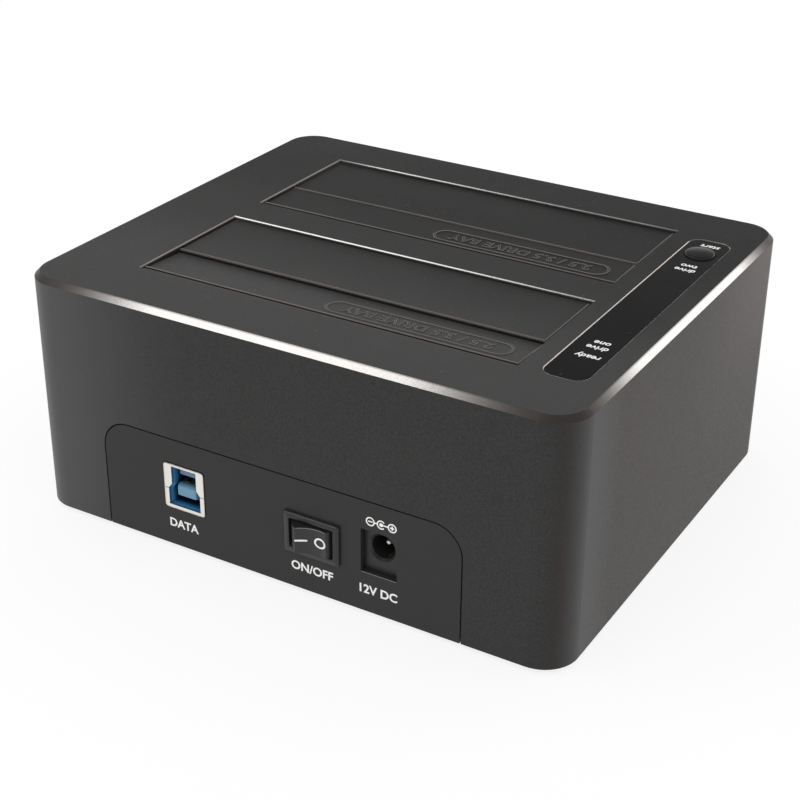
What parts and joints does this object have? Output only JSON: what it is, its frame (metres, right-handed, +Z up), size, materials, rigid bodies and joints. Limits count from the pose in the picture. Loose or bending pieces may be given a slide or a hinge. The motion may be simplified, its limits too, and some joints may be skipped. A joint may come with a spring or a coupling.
{
  "type": "drive duplicator",
  "caption": "Desktop drive duplicator: box with upright drive bays under sprung flaps, an indicator strip with a copy button, and a rear panel with data port, rocker switch and power jack.",
  "frame": {"origin": "on the ground, under the middle of the whole part", "axes": "+Z up, +Y towards the socket panel at the rear, -Y towards the user; the indicator strip lies along the -X side"},
  "size_m": [0.152, 0.1314, 0.0669],
  "materials": {
    "housing_plastic": "fine satin grain",
    "base_plastic": "fine satin grain",
    "flap_plastic": "fine grain",
    "frame_plastic": "matte",
    "foot_rubber": "matte",
    "screw_steel": "black zinc",
    "pin_steel": "ground",
    "spring_steel": "drawn wire",
    "lens_gloss": "polished, dark tint",
    "button_plastic": "satin",
    "board_green": "solder mask",
    "chip_black": "moulded",
    "can_aluminium": "drawn",
    "coil_ferrite": "sintered",
    "led_clear": "clear",
    "ribbon_grey": "flat cable jacket",
    "header_white": "moulded",
    "socket_black": "moulded",
    "contact_gold": "plated",
    "port_nickel": "plated",
    "port_blue": "moulded",
    "jack_black": "moulded",
    "switch_black": "satin",
    "rocker_black": "satin"
  },
  "bodies": {
    "housing": {"top_housing": "housing_plastic", "base_tray": "base_plastic", "rubber_feet": "foot_rubber", "base_screws": "screw_steel", "bay_frame_rear": "frame_plastic", "bay_frame_front": "frame_plastic", "bay_screws": "screw_steel", "hinge_pins": "pin_steel", "narrow_flap_spring_rear": "spring_steel", "wide_flap_spring_rear": "spring_steel", "narrow_flap_spring_front": "spring_steel", "wide_flap_spring_front": "spring_steel", "indicator_lens": "lens_gloss", "tact_switch": "chip_black", "indicator_board": "board_green", "strip_screws": "screw_steel", "indicator_leds": "led_clear", "ribbon_cable": "ribbon_grey", "ribbon_headers": "header_white", "main_board": "board_green", "board_screws": "screw_steel", "bridge_chip": "chip_black", "power_chips": "chip_black", "capacitors": "can_aluminium", "inductors": "coil_ferrite", "drive_socket_rear": "socket_black", "drive_socket_front": "socket_black", "socket_contacts_rear": "contact_gold", "socket_contacts_front": "contact_gold", "data_port_shell": "port_nickel", "data_port_insert": "port_blue", "data_port_contacts": "contact_gold", "power_jack_body": "jack_black", "power_jack_pin": "port_nickel", "power_jack_leaf": "port_nickel", "switch_body": "switch_black", "switch_terminals": "port_nickel"},
    "narrow_flap_rear_body": {"narrow_flap_rear": "flap_plastic"},
    "wide_flap_rear_body": {"wide_flap_rear": "flap_plastic"},
    "narrow_flap_front_body": {"narrow_flap_front": "flap_plastic"},
    "wide_flap_front_body": {"wide_flap_front": "flap_plastic"},
    "copy_button_body": {"copy_button": "button_plastic", "tact_plunger": "button_plastic"},
    "rocker_body": {"switch_rocker": "rocker_black"}
  },
  "joints": [
    {"name": "narrow_flap_rear_hinge", "type": "hinge", "parent": "housing", "child": "narrow_flap_rear_body", "pos_m": [0, 0.04172, 0.0614], "axis": [1, 0, 0], "range_deg": [0, 85], "stiffness_Nm_per_rad": 0.003, "springref_deg": -34.38, "deforming": ["narrow_flap_spring_rear"]},
    {"name": "wide_flap_rear_hinge", "type": "hinge", "parent": "housing", "child": "wide_flap_rear_body", "pos_m": [0, 0.00532, 0.0614], "axis": [-1, 0, 0], "range_deg": [0, 88], "stiffness_Nm_per_rad": 0.004, "springref_deg": -34.38, "deforming": ["wide_flap_spring_rear"]},
    {"name": "narrow_flap_front_hinge", "type": "hinge", "parent": "housing", "child": "narrow_flap_front_body", "pos_m": [0, -0.01078, 0.0614], "axis": [1, 0, 0], "range_deg": [0, 88], "stiffness_Nm_per_rad": 0.003, "springref_deg": -34.38, "deforming": ["narrow_flap_spring_front"]},
    {"name": "wide_flap_front_hinge", "type": "hinge", "parent": "housing", "child": "wide_flap_front_body", "pos_m": [0, -0.04718, 0.0614], "axis": [-1, 0, 0], "range_deg": [0, 88], "stiffness_Nm_per_rad": 0.004, "springref_deg": -34.38, "deforming": ["wide_flap_spring_front"]},
    {"name": "copy_button_slide", "type": "slide", "parent": "housing", "child": "copy_button_body", "axis": [0, 0, -1], "range_m": [0, 0.0004], "stiffness_N_per_m": 800, "springref_m": -0.0006},
    {"name": "rocker_tilt", "type": "hinge", "parent": "housing", "child": "rocker_body", "pos_m": [-0.0098, 0.06067, 0.017], "axis": [0, 0, -1], "range_deg": [0, 26]}
  ]
}
